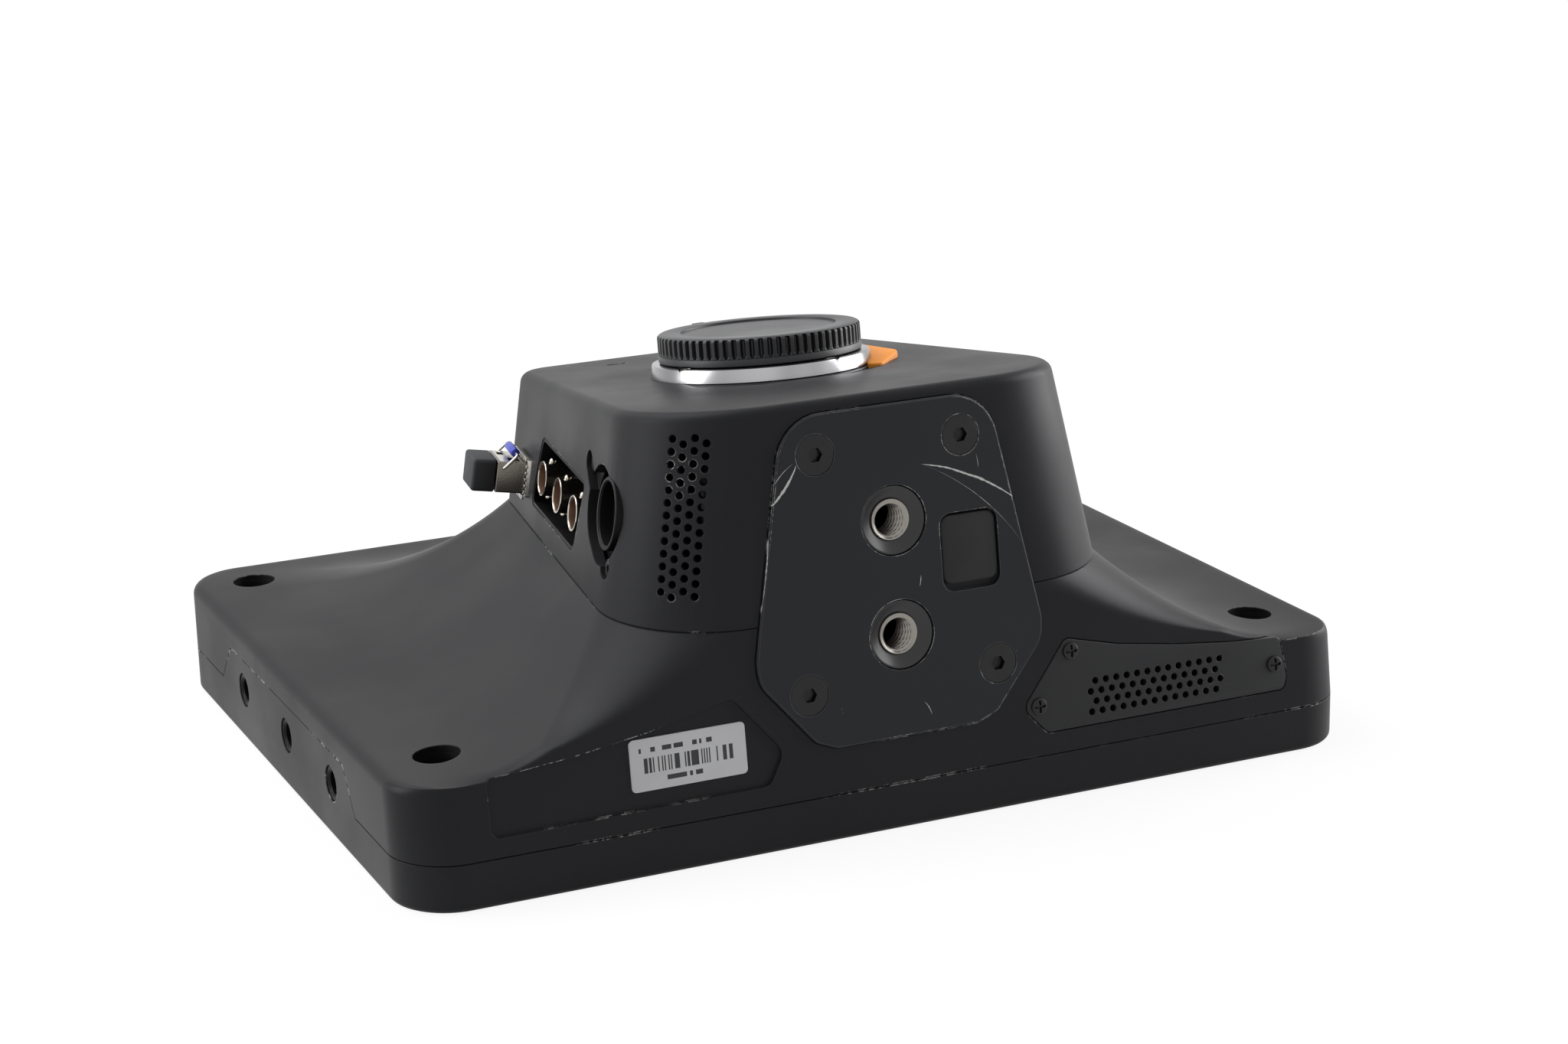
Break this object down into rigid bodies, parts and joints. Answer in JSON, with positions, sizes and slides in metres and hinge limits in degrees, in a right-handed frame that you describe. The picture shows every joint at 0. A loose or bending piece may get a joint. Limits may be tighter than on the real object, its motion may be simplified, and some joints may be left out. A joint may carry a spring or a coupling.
{
  "type": "studio camera",
  "caption": "Studio camera lying on its large screen: flared housing, leaning lens block with capped bayonet mount, tripod plate, connector side and menu buttons.",
  "frame": {"origin": "bottom centre of the camera as it lies on its screen bezel", "axes": "+X along the screen's long side, away from the connector side; +Y from the tripod plate to the camera's top; +Z out of the back of the screen, the lens leaning 7.5 degrees from it towards +Y"},
  "size_m": [0.268, 0.208, 0.117],
  "materials": {
    "housing": "fine textured magnesium paint",
    "bezel": "matte",
    "screen_glass": "polished",
    "display": "gloss",
    "backlight": "matte",
    "board": "solder mask",
    "frame_metal": "machined",
    "plate": "worn matte paint",
    "dark_screw": "black oxide",
    "steel": "machined",
    "rubber": "matte",
    "cover": "matte",
    "dark_plastic": "matte",
    "sticker": "printed film",
    "mount_metal": "satin",
    "sensor": "gloss",
    "filter": "polished",
    "orange": "satin",
    "cap": "satin",
    "module_metal": "satin",
    "bail_blue": "satin",
    "nickel": "satin",
    "battery": "matte",
    "button_plastic": "matte"
  },
  "bodies": {
    "camera_body": {"rear_shell": "housing", "core_housing": "housing", "screen_bezel": "bezel", "lcd_glass": "screen_glass", "lcd_panel": "display", "backlight": "backlight", "display_board": "board", "internal_frame": "frame_metal", "mounting_plate": "plate", "plate_screws": "dark_screw", "thread_insert_upper": "steel", "thread_insert_lower": "steel", "usb_socket": "steel", "speaker_cover": "cover", "cover_screws": "dark_screw", "speaker": "dark_plastic", "label_plate": "sticker", "corner_screws": "dark_screw", "mount_ring": "mount_metal", "mount_spacer": "dark_plastic", "mount_screws": "steel", "contact_block": "dark_plastic", "image_sensor": "sensor", "filter_glass": "filter", "sensor_board": "board", "sfp_cage": "module_metal", "bnc_panel": "dark_plastic", "bnc_jack_1": "nickel", "bnc_jack_2": "nickel", "bnc_jack_3": "nickel", "xlr_shell": "dark_plastic", "xlr_insert": "dark_plastic", "xlr_screws": "dark_screw", "audio_jack_1": "dark_plastic", "audio_jack_2": "dark_plastic", "audio_jack_3": "dark_plastic", "fan_frame": "dark_plastic", "heat_sink": "frame_metal", "main_board": "board", "battery_pack": "battery", "microphones": "steel", "sdi_board": "board", "button_boards": "board"},
    "lens_release": {"lens_release": "orange", "lock_pin": "steel"},
    "body_cap": {"body_cap": "cap"},
    "usb_cover": {"usb_cover": "rubber"},
    "sfp_module": {"sfp_module": "module_metal"},
    "sfp_bail": {"sfp_bail": "bail_blue"},
    "sfp_plug": {"sfp_plug": "rubber"},
    "fan_rotor": {"fan_rotor": "dark_plastic"},
    "button_1": {"button_1": "button_plastic"},
    "button_2": {"button_2": "button_plastic"},
    "button_3": {"button_3": "button_plastic"},
    "button_4": {"button_4": "button_plastic"},
    "button_5": {"button_5": "button_plastic"},
    "button_6": {"button_6": "button_plastic"}
  },
  "joints": [
    {"name": "cap_twist", "type": "hinge", "parent": "camera_body", "child": "body_cap", "pos_m": [0, -0.01614, 0.10571], "axis": [0, 0.1305, 0.9914], "range_deg": [0, 40]},
    {"name": "release_press", "type": "slide", "parent": "camera_body", "child": "lens_release", "axis": [0, -0.1305, -0.9914], "range_m": [0, 0.0015], "stiffness_N_per_m": 900},
    {"name": "usb_flap", "type": "hinge", "parent": "camera_body", "child": "usb_cover", "pos_m": [0.0208, -0.09624, 0.07899], "axis": [-1, 0, 0], "range_deg": [0, 110]},
    {"name": "module_slide", "type": "slide", "parent": "camera_body", "child": "sfp_module", "axis": [-0.9783, 0.1375, 0.1547], "range_m": [0, 0.045]},
    {"name": "bail_swing", "type": "hinge", "parent": "sfp_module", "child": "sfp_bail", "pos_m": [-0.06081, 0.02779, 0.07344], "axis": [-0.1392, -0.9903, 0], "range_deg": [0, 90]},
    {"name": "plug_pull", "type": "slide", "parent": "sfp_module", "child": "sfp_plug", "axis": [-0.9783, 0.1375, 0.1547], "range_m": [0, 0.012]},
    {"name": "fan_spin", "type": "hinge", "parent": "camera_body", "child": "fan_rotor", "pos_m": [0, -0.02198, 0.06139], "axis": [0, 0.1305, 0.9914], "continuous": true},
    {"name": "button_1_press", "type": "slide", "parent": "camera_body", "child": "button_1", "axis": [0, 0, 1], "range_m": [0, 0.0012], "stiffness_N_per_m": 400},
    {"name": "button_2_press", "type": "slide", "parent": "camera_body", "child": "button_2", "axis": [0, 0, 1], "range_m": [0, 0.0012], "stiffness_N_per_m": 400},
    {"name": "button_3_press", "type": "slide", "parent": "camera_body", "child": "button_3", "axis": [0, 0, 1], "range_m": [0, 0.0012], "stiffness_N_per_m": 400},
    {"name": "button_4_press", "type": "slide", "parent": "camera_body", "child": "button_4", "axis": [0, 0, 1], "range_m": [0, 0.0012], "stiffness_N_per_m": 400},
    {"name": "button_5_press", "type": "slide", "parent": "camera_body", "child": "button_5", "axis": [0, 0, 1], "range_m": [0, 0.0012], "stiffness_N_per_m": 400},
    {"name": "button_6_press", "type": "slide", "parent": "camera_body", "child": "button_6", "axis": [0, 0, 1], "range_m": [0, 0.0012], "stiffness_N_per_m": 400}
  ]
}
